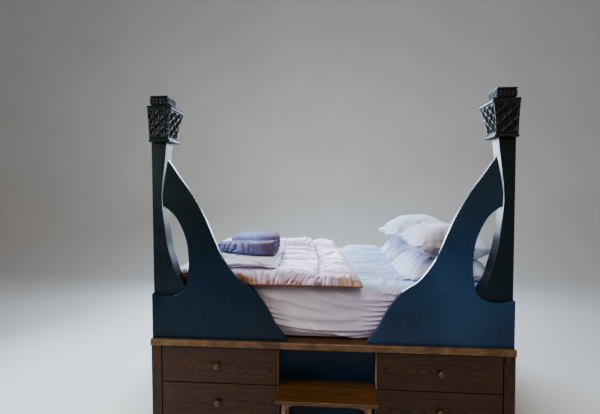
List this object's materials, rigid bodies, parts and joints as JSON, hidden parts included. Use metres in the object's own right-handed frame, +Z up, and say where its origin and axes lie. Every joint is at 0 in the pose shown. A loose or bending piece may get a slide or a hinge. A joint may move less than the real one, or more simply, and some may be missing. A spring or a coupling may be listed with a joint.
{
  "type": "built-in cabin bed",
  "caption": "Alcove bed for a glamping pod: swooping painted side panels with leaf openings, carved post capitals, drawers either side of a step, mattress, quilt, pillows and towels.",
  "frame": {"origin": "middle of the footprint's bounding box, on the floor", "axes": "+X to the sleeper's right along the front, across the cabin; +Y from the room towards the end wall; +Z up"},
  "size_m": [2.04, 1.77, 1.972],
  "materials": {
    "carcass_ply": "oiled plywood",
    "slat_pine": "planed softwood",
    "recess_paint": "satin paint on board",
    "oak_front": "oiled oak",
    "oak_board": "oiled oak",
    "slide_steel": "zinc-plated",
    "panel_paint": "gloss paint on board",
    "post_paint": "gloss paint on timber",
    "drawer_ply": "lacquered birch plywood",
    "knob_wood": "turned oak",
    "step_oak": "oiled oak",
    "mattress_ticking": "woven cotton",
    "duvet_cotton": "washed cotton",
    "quilt_satin": "gathered satin",
    "pillow_cotton": "washed cotton",
    "bath_sheet_terry": "terry cloth",
    "towel_terry": "terry cloth"
  },
  "bodies": {
    "bed": {"back_lower_pillow": "pillow_cotton", "back_rail": "carcass_ply", "back_towel": "towel_terry", "back_upper_pillow": "pillow_cotton", "deck_slats": "slat_pine", "drawer_rails": "slide_steel", "duvet": "duvet_cotton", "folded_sheet": "bath_sheet_terry", "front_board": "oak_board", "front_lower_pillow": "pillow_cotton", "front_towel": "towel_terry", "front_upper_pillow": "pillow_cotton", "kick_boards": "carcass_ply", "left_capital": "post_paint", "left_inner_gable": "carcass_ply", "left_outer_gable": "carcass_ply", "left_panel": "panel_paint", "left_post": "post_paint", "left_stile": "oak_front", "mattress": "mattress_ticking", "quilt": "quilt_satin", "recess_panel": "recess_paint", "right_capital": "post_paint", "right_inner_gable": "carcass_ply", "right_outer_gable": "carcass_ply", "right_panel": "panel_paint", "right_post": "post_paint", "right_stile": "oak_front", "step_legs": "step_oak", "step_rails": "step_oak", "step_top": "step_oak"},
    "left_lower_drawer": {"left_lower_drawer_front": "oak_front", "left_lower_drawer_box": "drawer_ply", "left_lower_knob": "knob_wood"},
    "left_upper_drawer": {"left_upper_drawer_front": "oak_front", "left_upper_drawer_box": "drawer_ply", "left_upper_knob": "knob_wood"},
    "right_lower_drawer": {"right_lower_drawer_front": "oak_front", "right_lower_drawer_box": "drawer_ply", "right_lower_knob": "knob_wood"},
    "right_upper_drawer": {"right_upper_drawer_front": "oak_front", "right_upper_drawer_box": "drawer_ply", "right_upper_knob": "knob_wood"}
  },
  "joints": [
    {"name": "left_lower_drawer_slide", "type": "slide", "parent": "bed", "child": "left_lower_drawer", "axis": [0, -1, 0], "range_m": [0, 0.42]},
    {"name": "left_upper_drawer_slide", "type": "slide", "parent": "bed", "child": "left_upper_drawer", "axis": [0, -1, 0], "range_m": [0, 0.42]},
    {"name": "right_lower_drawer_slide", "type": "slide", "parent": "bed", "child": "right_lower_drawer", "axis": [0, -1, 0], "range_m": [0, 0.42]},
    {"name": "right_upper_drawer_slide", "type": "slide", "parent": "bed", "child": "right_upper_drawer", "axis": [0, -1, 0], "range_m": [0, 0.42]}
  ]
}
